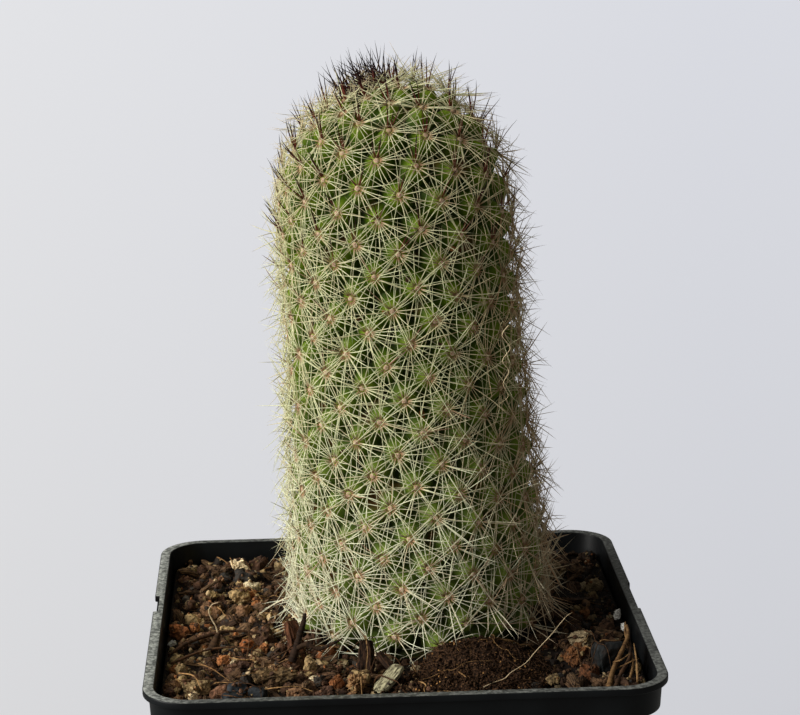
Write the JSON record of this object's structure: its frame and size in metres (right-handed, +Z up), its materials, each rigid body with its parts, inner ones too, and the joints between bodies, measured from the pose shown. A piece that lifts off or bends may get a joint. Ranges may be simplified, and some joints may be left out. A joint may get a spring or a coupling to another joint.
{
  "type": "potted mammillaria cactus",
  "caption": "Short columnar pincushion cactus with cream radial spines and dark tips at the crown, growing in gritty soil in a small square black nursery pot.",
  "frame": {"origin": "middle of the flat underside of the pot", "axes": "+Z up through the plant, the plant's front faces -Y and its leaning side faces -X"},
  "size_m": [0.07, 0.07, 0.1448],
  "materials": {
    "pot_plastic": "moulded black plastic, slightly dusty",
    "gritty_soil": "matte gritty soil",
    "cactus_flesh": "waxy green skin under cream spines",
    "peat": "matte crumbly peat",
    "pumice": "rough porous stone",
    "lava": "rough porous stone",
    "slate": "rough stone",
    "clay": "rough dry clod",
    "charcoal": "matte charcoal",
    "pale_bark": "dry weathered bark",
    "dark_bark": "damp dark bark"
  },
  "bodies": {
    "root": {"pot": "pot_plastic", "soil": "gritty_soil", "cactus": "cactus_flesh", "peat_clump": "peat", "pumice_stone_left": "pumice", "pumice_stone_middle": "pumice", "clay_clod": "clay", "lava_stone_middle": "lava", "lava_stone_right": "lava", "pumice_stone_right": "pumice", "slate_stone_left": "slate", "pumice_stone_back_left": "pumice", "pumice_stone_back_right": "pumice", "lava_stone_back": "lava", "charcoal_lump": "charcoal", "bark_chip_pale": "pale_bark", "bark_stub_dark": "dark_bark", "bark_sliver_dark": "dark_bark", "bark_flake_left": "dark_bark"}
  },
  "joints": []
}
